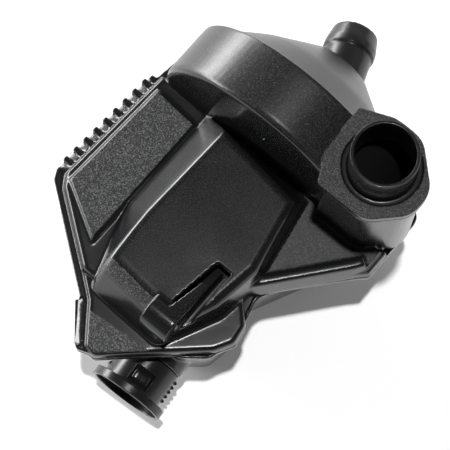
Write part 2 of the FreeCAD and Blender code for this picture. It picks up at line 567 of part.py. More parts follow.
stub = drain_turned("DrainStub", [
    ("0", "-root_depth"), ("root_radius", "-root_depth"), ("root_radius", "root_length"),
    ("stub_radius", "root_length"), ("stub_radius", "stub_length"), ("0", "stub_length")])
stub_hole = drain_turned("DrainHole", [
    ("0", "-root_depth * 1.5"), ("stub_bore", "-root_depth * 1.5"),
    ("stub_bore", "stub_length - seal_inset - seal_wire - seal_room"),
    ("stub_bore + seal_wire * 2 + seal_room * 2", "stub_length - seal_inset - seal_wire - seal_room"),
    ("stub_bore + seal_wire * 2 + seal_room * 2", "stub_length - seal_inset + seal_wire + seal_room"),
    ("stub_bore", "stub_length - seal_inset + seal_wire + seal_room"),
    ("stub_bore", "stub_length * 1.5"), ("0", "stub_length * 1.5")])
nubs = []
for side in (1, -1):
    foot = -size("stub_radius") if side < 0 else size("stub_radius") - size("wall") / 2
    nub = block("Nub%d" % (side + 2), "nub_width", "nub_length", "nub_rise + wall / 2",
                drain_place(-size("nub_width") / 2, size("collar_start") + size("window_offset")
                            + (size("window_length") - size("nub_length")) / 2,
                            foot if side > 0 else foot - size("nub_rise")))
    nubs.append(nub)

rear_solid = fuse("RearSolid", rear_flange, shallow, deep_shell, tab, stub, *nubs)
rear_rooms = fuse("RearRooms", deep_room, deep_rebate, tab_room, riser_window, stub_hole, drum_clear)
rear_housing = cut("RearHousing", rear_solid, rear_rooms)
rear_housing.Label = "rear_housing"

# Separator baffle on the rear housing's rebate
baffle_plate = prism("BafflePlate", inset("BaffleOutline", deep, "rebate - wall - baffle_fit"),
                     "baffle_thick", down=True)
holes = []
for across in range(int(size("baffle_cols"))):
    for along in range(int(size("baffle_rows"))):
        spot = V(-size("baffle_start_x") + across * size("baffle_pitch"),
                 -size("baffle_start_y") - along * size("baffle_pitch"),
                 size("seam_height") - size("baffle_thick") * 2)
        holes.append(rod("BaffleHole%d%d" % (across + 1, along + 1), "baffle_hole", "baffle_thick * 3",
                         FreeCAD.Placement(spot, FreeCAD.Rotation())))
separator_baffle = cut("SeparatorBaffle", baffle_plate, fuse("BaffleHoles", *holes))
separator_baffle.Label = "separator_baffle"

# Cap over the drum, with the valve seat inside and the leaning hose nipple outside
skirt = "drum_radius - drum_wall + cap_ledge_width - cap_fit"
cap_outer = rounded("CapOuter", turned("CapBlank", outline("CapProfile", [
    ("0", "drum_height - cap_ledge"), (skirt, "drum_height - cap_ledge"), (skirt, "drum_height - cap_lip"),
    ("cap_shoulder_radius", "drum_height + cap_shoulder_rise"),
    ("cap_top_radius", "drum_height + cap_rise"), ("0", "drum_height + cap_rise")], "axis_height")),
    crown_rounding)
cap_room = turned("CapRoom", outline("CapRoomProfile", [
    ("0", "drum_height - cap_ledge * 2"), (skirt + " - cap_wall", "drum_height - cap_ledge * 2"),
    (skirt + " - cap_wall", "drum_height - cap_lip - cap_wall / 2"),
    ("cap_shoulder_radius - cap_wall / 2", "drum_height + cap_shoulder_rise - cap_wall"),
    ("spring_seat_radius", "drum_height + spring_seat_rise"), ("0", "drum_height + spring_seat_rise")],
    "axis_height"))
plate_top = "ring_height + bead_thick / 2 + film / 2 + plate_thick"
seat_tube = turned("SeatTube", outline("SeatProfile", [
    ("0", plate_top + " + travel + seat_gap"), ("seat_radius", plate_top + " + travel + seat_gap"),
    ("seat_radius", "drum_height + spring_seat_rise + cap_wall / 2"),
    ("0", "drum_height + spring_seat_rise + cap_wall / 2")], "axis_height"))
seat_hole = turned("SeatHole", outline("SeatHoleProfile", [
    ("0", "ring_height"), ("seat_bore", "ring_height"),
    ("seat_bore", "drum_height + cap_rise - nipple_root"), ("0", "drum_height + cap_rise - nipple_root")],
    "axis_height"))
nipple_base = V(size("nipple_shift"), number_of("drum_height + cap_rise - nipple_root"), size("axis_height"))
nipple_axis = V(-number_of("tan(nipple_lean_x)"), 1, -number_of("tan(nipple_lean_z)"))
nipple_axis.normalize()
nipple_frame = FreeCAD.Placement(nipple_base, FreeCAD.Rotation(V(0, 1, 0), nipple_axis))
nipple = turned("Nipple", outline("NippleProfile", [
    ("0", "0"), ("nipple_radius", "0"), ("nipple_radius", "nipple_length - barb_length"),
    ("barb_radius", "nipple_length - barb_length"),
    ("barb_radius", "nipple_length - barb_length + barb_land"), ("nipple_tip_radius", "nipple_length"),
    ("0", "nipple_length")], None, nipple_frame), nipple_axis, nipple_base)
nipple_hole = turned("NippleHole", outline("NippleHoleProfile", [
    ("0", "-nipple_root"), ("nipple_bore", "-nipple_root"), ("nipple_bore", "nipple_length * 1.2"),
    ("0", "nipple_length * 1.2")], None, nipple_frame), nipple_axis, nipple_base)
clamp_top = "ring_height + bead_thick + clamp_thick"
post_reach = "ring_radius - bead_width / 2"
post_top = ("drum_height - cap_lip - cap_wall / 4 + (" + skirt + " - (" + post_reach + ")"
            " - post_radius) * (cap_shoulder_rise + cap_lip) / (" + skirt + " - cap_shoulder_radius)")
posts = []
for place in range(int(size("post_count"))):
    turn = math.radians(360.0 / size("post_count") * place + size("post_turn"))
    reach = number_of(post_reach)
    spot = V(reach * math.cos(turn), number_of(clamp_top), size("axis_height") + reach * math.sin(turn))
    posts.append(rod("Post%d" % (place + 1), "post_radius", post_top + " - (" + clamp_top + ")",
                     FreeCAD.Placement(spot, AXIS)))
cap_shell = fuse("CapShell", cut("CapHollow", cap_outer, cap_room), seat_tube, nipple, *posts)
diaphragm_cap = cut("DiaphragmCap", cap_shell, fuse("CapHoles", seat_hole, nipple_hole))
diaphragm_cap.Label = "diaphragm_cap"

# Diaphragm with its bead on the ring wall, and the plates that carry it
middle = "ring_height + bead_thick / 2"
upper = middle + " + film / 2"
lower = middle + " - film / 2"
diaphragm = turned("Diaphragm", outline("DiaphragmProfile", [
    ("stud_radius + stud_fit", lower), ("plate_radius + lobe_clear", lower),
    ("plate_radius + lobe_clear * 2 + film", lower + " - lobe_depth"),
    ("ring_radius - ring_wall - lobe_clear * 2 - film", lower + " - lobe_depth"),
    ("ring_radius - ring_wall - lobe_clear", lower), ("ring_radius - bead_width", lower),
    ("ring_radius - bead_width", "ring_height"), ("ring_radius", "ring_height"),
    ("ring_radius", "ring_height + bead_thick"), ("ring_radius - bead_width", "ring_height + bead_thick"),
    ("ring_radius - bead_width", upper), ("ring_radius - ring_wall - lobe_clear - film", upper),
    ("ring_radius - ring_wall - lobe_clear * 2 - film * 2", upper + " - lobe_depth"),
    ("plate_radius + lobe_clear * 2 + film * 2", upper + " - lobe_depth"),
    ("plate_radius + lobe_clear + film", upper), ("stud_radius + stud_fit", upper)], "axis_height"))
diaphragm.Label = "diaphragm"
diaphragm_plate = turned("DiaphragmPlate", outline("PlateProfile", [
    ("stud_radius + stud_fit", upper), ("plate_radius", upper), ("plate_radius", plate_top),
    ("guide_radius", plate_top), ("guide_radius", plate_top + " + guide_rise"),
    ("guide_radius - guide_wall", plate_top + " + guide_rise"), ("guide_radius - guide_wall", plate_top),
    ("stud_radius + stud_fit", plate_top)], "axis_height"))
diaphragm_plate.Label = "diaphragm_plate"
backing_plate = turned("BackingPlate", outline("BackingProfile", [
    ("0", lower + " - backing_thick"), ("plate_radius", lower + " - backing_thick"), ("plate_radius", lower),
    ("stud_radius", lower), ("stud_radius", plate_top), ("0", plate_top)], "axis_height"))
backing_plate.Label = "backing_plate"
clamp_ring = turned("ClampRing", outline("ClampProfile", [
    ("ring_radius - bead_width", "ring_height + bead_thick"),
    ("ring_radius + clamp_fit", "ring_height + bead_thick"),
    ("ring_radius + clamp_fit", "ring_height - clamp_hook"),
    ("ring_radius + clamp_skirt", "ring_height - clamp_hook"), ("ring_radius + clamp_skirt", clamp_top),
    ("ring_radius - bead_width", clamp_top)], "axis_height"))
clamp_ring.Label = "clamp_ring"

# Regulator spring between the plate and the cap's spring seat
spring_foot = number_of(plate_top + " + wire_radius + rest_gap")
helix = doc.addObject("Part::Helix", "SpringPath")
helix.Placement = on_axis(spring_foot)
spring_height = "drum_height + spring_seat_rise - (" + plate_top + ") - wire_radius * 2 - rest_gap * 2"
bind(helix, Radius="spring_radius", Height=spring_height, Pitch="(" + spring_height + ") / spring_turns")
wire = doc.addObject("Part::Circle", "SpringWire")
wire.Placement = on_axis(spring_foot).multiply(FreeCAD.Placement(V(size("spring_radius"), 0, 0),
                                               FreeCAD.Rotation(V(1, 0, 0), 90)))
bind(wire, Radius="wire_radius")
regulator_spring = doc.addObject("Part::Sweep", "RegulatorSpring")
regulator_spring.Sections = [wire]
regulator_spring.Spine = (helix, [])
regulator_spring.Solid = True
regulator_spring.Frenet = True
regulator_spring.Label = "regulator_spring"

# Drain collar with its lip, windows and grips, and the seal in the stub
collar_ring = drain_turned("CollarRing", [
    ("stub_radius + collar_fit", "collar_start"), ("collar_radius", "collar_start"),
    ("collar_radius", "collar_end - lip_thick"), ("lip_radius", "collar_end - lip_thick"),
    ("lip_radius", "collar_end"), ("lip_bore", "collar_end"), ("lip_bore", "collar_end - mouth_depth"),
    ("stub_radius + collar_fit", "collar_end - mouth_depth")])
grips = []
for side in (1, -1):
    for place in range(int(size("grip_count"))):
        spot = drain_place(side * size("collar_radius"), size("grip_start") + place * size("grip_pitch"),
                           -size("grip_length") / 2)
        grips.append(rod("Grip%d%d" % (side + 2, place + 1), "grip_radius", "grip_length", spot))
windows = block("CollarWindows", "window_width", "window_length", "collar_radius * 4",
                drain_place(-size("window_width") / 2, size("collar_start") + size("window_offset"),
                            -size("collar_radius") * 2))
bore_core = drain_turned("CollarBore", [
    ("0", "0"), ("stub_radius + collar_fit", "0"), ("stub_radius + collar_fit", "collar_end"),
    ("0", "collar_end")])
collar_cuts = fuse("CollarCuts", windows, bore_core)
drain_collar = cut("DrainCollar", fuse("CollarSolid", collar_ring, *grips), collar_cuts)
drain_collar.Label = "drain_collar"
drain_seal = doc.addObject("Part::Torus", "DrainSeal")
drain_seal.Placement = drain_frame.multiply(FreeCAD.Placement(
    V(0, size("stub_length") - size("seal_inset"), 0), AXIS))
bind(drain_seal, Radius1="stub_bore + seal_wire + seal_room", Radius2="seal_wire")
drain_seal.Label = "drain_seal"

PIECES = [front_housing, rear_housing, inlet_cover, diaphragm_cap, diaphragm, diaphragm_plate, backing_plate,
          regulator_spring, clamp_ring, separator_baffle, drain_collar, drain_seal]

doc.recompute()
for thing in doc.Objects:
    if "Invalid" in thing.State or "Error" in thing.State:
        raise RuntimeError("%s failed: %s" % (thing.Name, thing.State))
for piece in PIECES:
    if piece.Shape.isNull() or not piece.Shape.isValid():
        raise RuntimeError("%s has no valid shape" % piece.Label)
    if len(piece.Shape.Solids) != 1:
        raise RuntimeError("%s has %d solids" % (piece.Label, len(piece.Shape.Solids)))

os.makedirs("parts", exist_ok=True)
for piece in PIECES:
    piece.Shape.exportStep("parts/%s.step" % piece.Label)
    print("%-18s %9.1f mm3" % (piece.Label, piece.Shape.Volume))
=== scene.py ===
"""Looks of a black crankcase vent valve: soft mouldings, their finishes with painted glints and a
painted highlight, and a white table.
"""
import math
from typing import NamedTuple

import bmesh
import bpy
from mathutils import Matrix, Vector


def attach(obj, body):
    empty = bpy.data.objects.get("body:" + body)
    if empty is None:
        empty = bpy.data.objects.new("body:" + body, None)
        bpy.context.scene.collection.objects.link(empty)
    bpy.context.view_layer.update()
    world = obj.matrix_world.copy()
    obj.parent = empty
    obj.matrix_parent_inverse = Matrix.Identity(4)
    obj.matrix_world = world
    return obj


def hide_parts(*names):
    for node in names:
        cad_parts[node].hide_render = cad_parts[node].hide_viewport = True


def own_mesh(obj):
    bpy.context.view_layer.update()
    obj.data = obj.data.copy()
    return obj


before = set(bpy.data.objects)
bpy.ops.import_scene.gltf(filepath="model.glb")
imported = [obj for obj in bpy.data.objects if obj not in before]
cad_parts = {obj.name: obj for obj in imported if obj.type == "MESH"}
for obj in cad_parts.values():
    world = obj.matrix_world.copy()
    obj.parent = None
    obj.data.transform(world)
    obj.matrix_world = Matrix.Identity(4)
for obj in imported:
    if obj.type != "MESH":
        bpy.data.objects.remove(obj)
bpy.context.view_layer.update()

bl_info = {
    "name": "Vent Valve Looks",
    "version": (1, 0, 0),
    "blender": (4, 5, 0),
    "location": "View3D > Sidebar > Vent Valve",
    "description": "Dresses a crankcase vent valve in plastic, rubber and steel, and lights it",
    "category": "Object",
}

MM = 0.001
HOUSING = "housing"

# Soft edges of a moulding: points closer than the weld distance are joined first
WELD_DISTANCE = 0.001 * MM
SMOOTH_FACTOR = 0.5
SMOOTH_ROUNDS = 3

# Left ledge of the weld flange, which falls away outwards, in millimetres
SEAM = 34.0
LEDGE_TOP = 36.6
LEDGE_EDGE = 44.7
LEDGE_FLARE = 0.054
LEDGE_WIDTH = 2.6
LEDGE_SLOPE = 0.5
LEDGE_SPAN = (-41.5, -1.5)

# Lip of the weld flange left of the chin, which falls away too, in millimetres
LIP_START = Vector((-13.4, -67.8, 36.6))
LIP_WAY = Vector((0.611, -0.792, 0.0))
LIP_OUT = Vector((-0.792, -0.611, 0.0))
LIP_LENGTH = 14.4
LIP_WIDTH = 2.0
LIP_SLOPE = 0.84

# Short ribs across the ledge, in millimetres
RIB_COUNT = 9
RIB_START = 3.4
RIB_PITCH = 4.36
RIB_RADIUS = 1.0
RIB_LENGTH = 4.8
RIB_OVERHANG = 0.6
RIB_ROUND = 0.55
RIB_SIDES = 24
RIB_ROUND_STEPS = 4

# Places of the finishes on the front housing, in millimetres
DRUM_FRONT = -2.5
PANEL_LEVEL = 42.1
PANEL_RIGHT = -20.0
CHIN_START = Vector((-11.7, -70.0, 38.2))
CHIN_WAY = Vector((-0.096, 0.995, 0.0))
CHIN_LEVELS = (37.6, 38.8)
# Where the chamber's rounded end is grained, in a band picked by lean so that its painted glints
# stand in for a highlight
ROLL_START = -52.0
ROLL_LEVEL = 42.0
ROLL_RIGHT = 5.8
FACE_LEVEL = 51.6
BAND_SPAN = (0.8, 18.4)
BAND_RADII = (39.0, 40.2)
DRUM_AXIS = 40.0
WEB_LEFT = 18.0
WEB_SPAN = (-38.0, 0.0)
WEB_LEVELS = (40.4, 41.1)

# Top of the inlet cover's plate and how far its grain reaches from it, in millimetres
PLATE_LEVEL = 78.0
PLATE_REACH = 0.4

# How far a face has to look up to take a finish, and how far down the valve a face of the chamber's
# roll leans to take the painted highlight band
FIELD_UP = 0.9
FACE_UP = 0.95
WEB_UP = 0.97
PLATE_UP = 0.7
ROLL_HIGHLIGHT_LEAN = (-0.8, -0.3)

# Places of the grained materials, with their painted glints, in a piece's list, after the smooth
# one
GRAINED, BAND, FACE = 1, 2, 3


class CloudyLook(NamedTuple):
    """Surface of a plain finish, with its sizes in millimetres."""
    roughness: tuple
    grain: float
    depth: float
    cloud: float = 14.0
    detail: float = 4.0
    shades: tuple = (0.9, 1.35)
    spread: tuple = (0.35, 0.65)
    grain_mix: float = 0.6
    metallic: float = 0.0


CLOUDY_LOOKS = {
    "housing_smooth": CloudyLook((0.20, 0.23), grain=0.25, depth=0.004),
    "inlet_smooth": CloudyLook((0.20, 0.23), grain=0.25, depth=0.008),
    "cap_satin": CloudyLook((0.30, 0.34), grain=0.25, depth=0.010),
    "collar_satin": CloudyLook((0.26, 0.30), grain=0.25, depth=0.010),
    "inside_smooth": CloudyLook((0.4, 0.5), grain=0.8, depth=0.02),
    "natural_plastic": CloudyLook(
        (0.4, 0.55), grain=0.6, depth=0.03, cloud=6.0, detail=3.0, shades=(0.9, 1.1),
        spread=(0.0, 1.0), grain_mix=0.5),
    "seal_rubber": CloudyLook(
        (0.65, 0.85), grain=0.4, depth=0.05, cloud=5.0, detail=3.0, shades=(0.8, 1.3),
        spread=(0.0, 1.0), grain_mix=0.5),
    "spring_steel": CloudyLook(
        (0.25, 0.4), grain=0.3, depth=0.02, cloud=1.5, shades=(0.8, 1.1),
        spread=(0.0, 1.0), grain_mix=0.5, metallic=1.0),
}


class GrainedLook(NamedTuple):
    """Surface of a spark-eroded finish, with its share of the deepest texture and of the brightest
    painted glints.
    """
    roughness: tuple
    share: float
    cloud: float = 14.0
    detail: float = 4.0
    spread: tuple = (0.35, 0.65)
    # Range of the pit noise that is painted pale as glints
    pits: tuple = (0.48, 0.74)
    pit_mix: float = 0.6


# Grained finishes: real spark-eroded grain, with painted glints as bright as the share allows
GRAINED_LOOKS = {
    "housing_grain_painted_glints": GrainedLook((0.42, 0.50), share=1.0),
    "drum_grain_painted_glints": GrainedLook((0.30, 0.34), share=0.35),
    "chamber_grain_painted_glints": GrainedLook((0.20, 0.22), share=0.16),
    "inlet_grain_painted_glints": GrainedLook((0.42, 0.50), share=0.6),
}


class ValveFinish(bpy.types.PropertyGroup):
    """Colours of the valve's finishes, the painted glints among them, and the sizes of its texture.
    """
    plastic: bpy.props.FloatVectorProperty(
        name="Black plastic", description="Colour of the moulded black plastic",
        subtype="COLOR", size=3, default=(0.0072, 0.0074, 0.0080), min=0.0, max=1.0)
    # Painted glints: a pale colour painted into the spark-eroded texture's pits, standing in for
    # the light that their rims catch
    painted_glint_colour: bpy.props.FloatVectorProperty(
        name="Speck", description="Colour of the rims of the pits in the spark-eroded texture",
        subtype="COLOR", size=3, default=(0.19, 0.192, 0.196), min=0.0, max=1.0)
    natural: bpy.props.FloatVectorProperty(
        name="Natural plastic", description="Colour of the valve plates inside",
        subtype="COLOR", size=3, default=(0.55, 0.52, 0.45), min=0.0, max=1.0)
    rubber: bpy.props.FloatVectorProperty(
        name="Rubber", description="Colour of the diaphragm and the drain seal",
        subtype="COLOR", size=3, default=(0.02, 0.02, 0.022), min=0.0, max=1.0)
    steel: bpy.props.FloatVectorProperty(
        name="Spring steel", description="Colour of the spring wire",
        subtype="COLOR", size=3, default=(0.6, 0.6, 0.6), min=0.0, max=1.0)
    grain: bpy.props.FloatProperty(
        name="Grain size", description="Width of a pit of the spark-eroded texture",
        default=0.38 * MM, unit="LENGTH", precision=6)
    grain_depth: bpy.props.FloatProperty(
        name="Grain depth", description="Depth of the spark-eroded texture",
        default=0.05 * MM, unit="LENGTH", precision=6)


class ValveStage(bpy.types.PropertyGroup):
    """Camera, lamps, room and table top."""
    camera_place: bpy.props.FloatVectorProperty(
        name="Camera place", description="Where the camera stands",
        subtype="TRANSLATION", unit="LENGTH", size=3, default=(0.1029, -0.1385, 0.600))
    camera_target: bpy.props.FloatVectorProperty(
        name="Camera target", description="The point in the middle of the picture",
        subtype="TRANSLATION", unit="LENGTH", size=3, default=(0.0052, -0.0233, 0.040))
    camera_lens: bpy.props.FloatProperty(
        name="Lens", description="Focal length in millimetres", default=151.7, min=20.0)
    camera_sensor: bpy.props.FloatProperty(
        name="Sensor", description="Width of the sensor in millimetres", default=36.0, min=1.0)
    table_size: bpy.props.FloatProperty(
        name="Table size", description="Width of the white table top", default=8.0, unit="LENGTH")
    table_white: bpy.props.FloatVectorProperty(
        name="Table white", description="Colour of the table top",
        subtype="COLOR", size=3, default=(0.9, 0.9, 0.9), min=0.0, max=1.0)
    table_glow: bpy.props.FloatProperty(
        name="Table glow", description="Glow of the table top for the camera and in reflections",
        default=0.12, min=0.0)
    overhead: bpy.props.FloatProperty(
        name="Overhead light", description="Strength of the light straight above",
        default=2.0, min=0.0)
    glint: bpy.props.FloatProperty(
        name="Glint", description="Strength of the light above that also shows in gloss",
        default=0.8, min=0.0)
    lean: bpy.props.FloatProperty(
        name="Lean", description="How far behind the valve the lights above stand",
        subtype="ANGLE", default=math.radians(2.0))
    spread: bpy.props.FloatProperty(
        name="Spread", description="How wide the lights above look from the table",
        subtype="ANGLE", default=math.radians(2.5))
    window_power: bpy.props.FloatProperty(
        name="Window power", description="Watts of the soft light on the left",
        default=20.0, min=0.0)
    window_side: bpy.props.FloatVectorProperty(
        name="Window side", description="From the valve to the soft light on the left",
        subtype="XYZ", size=3, default=(-0.86, -0.05, 0.13))
    window_size: bpy.props.FloatVectorProperty(
        name="Window size", description="Width and height of the soft light on the left",
        unit="LENGTH", size=2, default=(1.5, 0.22))
    rear_power: bpy.props.FloatProperty(
        name="Rear power", description="Watts of the soft light behind the cap",
        default=0.4, min=0.0)
    rear_side: bpy.props.FloatVectorProperty(
        name="Rear side", description="From the valve to the soft light behind the cap",
        subtype="XYZ", size=3, default=(0.0, 0.85, 0.40))
    rear_size: bpy.props.FloatVectorProperty(
        name="Rear size", description="Width and height of the soft light behind the cap",
        unit="LENGTH", size=2, default=(0.9, 0.4))
    horizon: bpy.props.FloatProperty(
        name="Horizon", description="Strength of the room's light at table height",
        default=0.24, min=0.0)
    zenith: bpy.props.FloatProperty(
        name="Zenith", description="Strength of the room's light overhead",
        default=0.03, min=0.0)
    dusk: bpy.props.FloatProperty(
        name="Dusk", description="Height, as a share of straight up, where the zenith begins",
        default=0.8, min=0.0, max=1.0)


def finish():
    return bpy.context.scene.valve_finish


def stage():
    return bpy.context.scene.valve_stage


def between(value, limits):
    return limits[0] < value < limits[1]


def scaled(colour, share):
    return tuple(channel * share for channel in colour)


class Nodes:
    """A node tree, with short ways to add and join nodes."""

    def __init__(self, tree, output):
        self.tree = tree
        self.tree.nodes.clear()
        self.output = self.node(output)

    def node(self, kind, **sockets):
        made = self.tree.nodes.new(kind)
        for key, value in sockets.items():
            made.inputs[key.replace("_", " ")].default_value = value
        return made

    def join(self, source, target):
        self.tree.links.new(source, target)

    def math(self, operation, first, second):
        """Works out a value from two sockets, of which the second may be a number."""
        made = self.node("ShaderNodeMath")
        made.operation = operation
        self.join(first, made.inputs[0])
        if isinstance(second, float):
            made.inputs[1].default_value = second
        else:
            self.join(second, made.inputs[1])
        return made.outputs[0]

    def span(self, source, low, high, start=0.0, end=1.0):
        made = self.node(
            "ShaderNodeMapRange", From_Min=start, From_Max=end, To_Min=low, To_Max=high)
        self.join(source, made.inputs["Value"])
        return made.outputs["Result"]


class Shading(Nodes):
    """A new material's node tree."""

    def __init__(self, name):
        self.material = bpy.data.materials.new(name)
        self.material.use_nodes = True
        super().__init__(self.material.node_tree, "ShaderNodeOutputMaterial")

    def noise(self, size, detail=2.0, mix=0.5):
        coords = self.node("ShaderNodeTexCoord")
        made = self.node("ShaderNodeTexNoise", Scale=1.0 / size, Detail=detail, Roughness=mix)
        self.join(coords.outputs["Object"], made.inputs["Vector"])
        return made.outputs["Fac"]

    def tint(self, source, dark, light):
        made = self.node("ShaderNodeValToRGB")
        made.color_ramp.elements[0].color = (*dark, 1.0)
        made.color_ramp.elements[1].color = (*light, 1.0)
        self.join(source, made.inputs["Fac"])
        return made.outputs["Color"]

    def bump(self, source, depth):
        made = self.node("ShaderNodeBump", Strength=1.0, Distance=depth)
        self.join(source, made.inputs["Height"])
        return made.outputs["Normal"]

    def surface(self, colour, roughness, normal, metallic=0.0):
        shader = self.node("ShaderNodeBsdfPrincipled", Metallic=metallic, IOR=1.5)
        self.join(colour, shader.inputs["Base Color"])
        self.join(roughness, shader.inputs["Roughness"])
        self.join(normal, shader.inputs["Normal"])
        self.join(shader.outputs["BSDF"], self.output.inputs["Surface"])
        return self.material


def cloudy(name, colour):
    """A plain finish with cloudy colour and gloss, and a fine bump."""
    look = CLOUDY_LOOKS[name]
    made = Shading(name)
    cloud = made.noise(look.cloud * MM, detail=look.detail)
    fine = made.noise(look.grain * MM, mix=look.grain_mix)
    dark, light = (scaled(colour, share) for share in look.shades)
    return made.surface(
        made.tint(cloud, dark, light), made.span(cloud, *look.roughness, *look.spread),
        made.bump(fine, look.depth * MM), look.metallic)


def grained(name):
    """Black plastic off a spark-eroded mould, with pale painted glints where the pits' rims would
    catch light.
    """
    look = GRAINED_LOOKS[name]
    made = Shading(name)
    cloud = made.noise(look.cloud * MM, detail=look.detail)
    pits = made.noise(finish().grain, mix=look.pit_mix)
    # Painted glints: the top of the pit noise is painted pale, as if the pits' rims caught light
    painted_glint_mask = made.span(pits, 0.0, 1.0, *look.pits)
    return made.surface(
        made.tint(painted_glint_mask, finish().plastic, scaled(finish().painted_glint_colour, look.share)),
        made.span(cloud, *look.roughness, *look.spread),
        made.bump(pits, finish().grain_depth * look.share))


def linked(name, data):
    """A new object in the scene."""
    thing = bpy.data.objects.new(name, data)
    bpy.context.scene.collection.objects.link(thing)
    return thing


def soften(piece):
    for face in piece.data.polygons:
        face.use_smooth = True


def merged_copy(node, name):
    """A new piece with a node's solid, its loose triangles joined."""
    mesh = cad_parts[node].data.copy()
    mesh.materials.clear()
    shape = bmesh.new()
    shape.from_mesh(mesh)
    bmesh.ops.remove_doubles(shape, verts=shape.verts, dist=WELD_DISTANCE)
    shape.to_mesh(mesh)
    shape.free()
    return linked(name, mesh)


def freeze(piece):
    """Puts the result of a piece's modifiers into its mesh."""
    graph = bpy.context.evaluated_depsgraph_get()
    result = bpy.data.meshes.new_from_object(piece.evaluated_get(graph))
    piece.modifiers.clear()
    piece.data = result


def soft_moulding(node, name, voxel, limit):
    """A copy of a node's solid with the small round edges and corners that a mould gives."""
    piece = merged_copy(node, name)
    remesh = piece.modifiers.new("soft", "REMESH")
    remesh.mode = "VOXEL"
    remesh.voxel_size = voxel
    smooth = piece.modifiers.new("smooth", "SMOOTH")
    smooth.factor = SMOOTH_FACTOR
    smooth.iterations = SMOOTH_ROUNDS
    freeze(piece)
    share = limit / max(1, 2 * len(piece.data.polygons))
    if share < 1.0:
        thin = piece.modifiers.new("thin", "DECIMATE")
        thin.ratio = share
        freeze(piece)
    soften(piece)
    return piece


def dress(piece, node, body, slot, *materials):
    """Puts a piece with its materials in a node's place."""
    for material in materials:
        piece.data.materials.append(material)
    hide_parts(node)
    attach(piece, body)


def coat(node, material):
    """Gives a node that keeps its solid a finish."""
    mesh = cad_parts[node].data
    mesh.materials.clear()
    mesh.materials.append(material)


def paint(piece, index, rule):
    """Gives one of a piece's materials to the faces that the rule picks by centre and normal."""
    for face in piece.data.polygons:
        if rule(face.center / MM, face.normal):
            face.material_index = index


def score(piece, place, way):
    """Cuts a piece's faces along a plane, so that a finish can end there."""
    shape = bmesh.new()
    shape.from_mesh(piece.data)
    bmesh.ops.bisect_plane(
        shape, geom=shape.verts[:] + shape.edges[:] + shape.faces[:],
        plane_co=place * MM, plane_no=way)
    shape.to_mesh(piece.data)
    shape.free()


def ledge_edge(down):
    """How far left the flange's edge is at a distance below the drum's front."""
    return LEDGE_EDGE + LEDGE_FLARE * down


def rib_ledge_reach(spot):
    """How far out a point lies on the ledge under the ribs."""
    if not between(spot.y, LEDGE_SPAN):
        return 0.0
    return -spot.x - ledge_edge(-spot.y) + LEDGE_WIDTH


def chin_lip_reach(spot):
    """How far out a point lies on the lip left of the chin."""
    if not between((spot - LIP_START).dot(LIP_WAY), (0.0, LIP_LENGTH)):
        return 0.0
    return (spot - LIP_START).dot(LIP_OUT)


def fall_away(piece, reach_of, width, slope):
    """Lets a strip of the weld flange slope down and outwards, as it does on the part."""
    for vertex in piece.data.vertices:
        spot = vertex.co / MM
        reach = min(reach_of(spot), width)
        if reach > 0.0 and spot.z > SEAM:
            share = 1.0 - slope * reach / (LEDGE_TOP - SEAM)
            vertex.co.z = (SEAM + (min(spot.z, LEDGE_TOP) - SEAM) * share) * MM


def flange_ribs(name):
    """A row of short round-ended ribs across the ledge."""
    shape = bmesh.new()
    lying = Matrix.Rotation(math.pi / 2, 4, "Y")
    for place in range(RIB_COUNT):
        down = RIB_START + place * RIB_PITCH
        left = ledge_edge(down) + RIB_OVERHANG
        middle = Vector((RIB_LENGTH / 2 - left, -down, LEDGE_TOP)) * MM
        bmesh.ops.create_cone(
            shape, cap_ends=True, segments=RIB_SIDES, radius1=RIB_RADIUS * MM,
            radius2=RIB_RADIUS * MM, depth=RIB_LENGTH * MM,
            matrix=Matrix.Translation(middle) @ lying)
    ends = [edge for edge in shape.edges
            if abs(edge.verts[0].co.x - edge.verts[1].co.x) < RIB_ROUND * MM]
    bmesh.ops.bevel(
        shape, geom=ends, offset=RIB_ROUND * MM, affect="EDGES", segments=RIB_ROUND_STEPS,
        profile=0.5, material=-1)
    mesh = bpy.data.meshes.new(name)
    shape.to_mesh(mesh)
    shape.free()
    ribs = linked(name, mesh)
    soften(ribs)
    return ribs


def on_grained_front(spot, normal):
    """The spark-eroded fields of the front: left panel and chin."""
    panel = spot.z > PANEL_LEVEL and spot.x < PANEL_RIGHT and spot.y < DRUM_FRONT
    chin = between(spot.z, CHIN_LEVELS) and (spot - CHIN_START).dot(CHIN_WAY) < 0.0
    return normal.z > FIELD_UP and (panel or chin)


def on_roll_painted_highlight(spot, normal):
    """The rounded end of the front chamber, left of the bolt lug, in a band picked by lean: real
    grain whose painted glints stand in for a highlight.
    """
    end = spot.y < ROLL_START and spot.z > ROLL_LEVEL and spot.x < ROLL_RIGHT
    return end and between(normal.y, ROLL_HIGHLIGHT_LEAN)


def on_chamber_face(spot, normal):
    """The front chamber's top."""
    return normal.z > FACE_UP and spot.z > FACE_LEVEL and spot.y < DRUM_FRONT


def on_drum_and_web(spot, normal):
    """The fields with a finer texture: the drum's band and the floor of the webbed side."""
    radius = math.hypot(spot.x, spot.z - DRUM_AXIS)
    band = between(spot.y, BAND_SPAN) and between(radius, BAND_RADII)
    floor = spot.x > WEB_LEFT and between(spot.y, WEB_SPAN) and between(spot.z, WEB_LEVELS)
    return band or (floor and normal.z > WEB_UP)


def on_inlet_plate(spot, normal):
    """The top of the inlet cover's plate."""
    return abs(spot.z - PLATE_LEVEL) < PLATE_REACH and normal.z > PLATE_UP


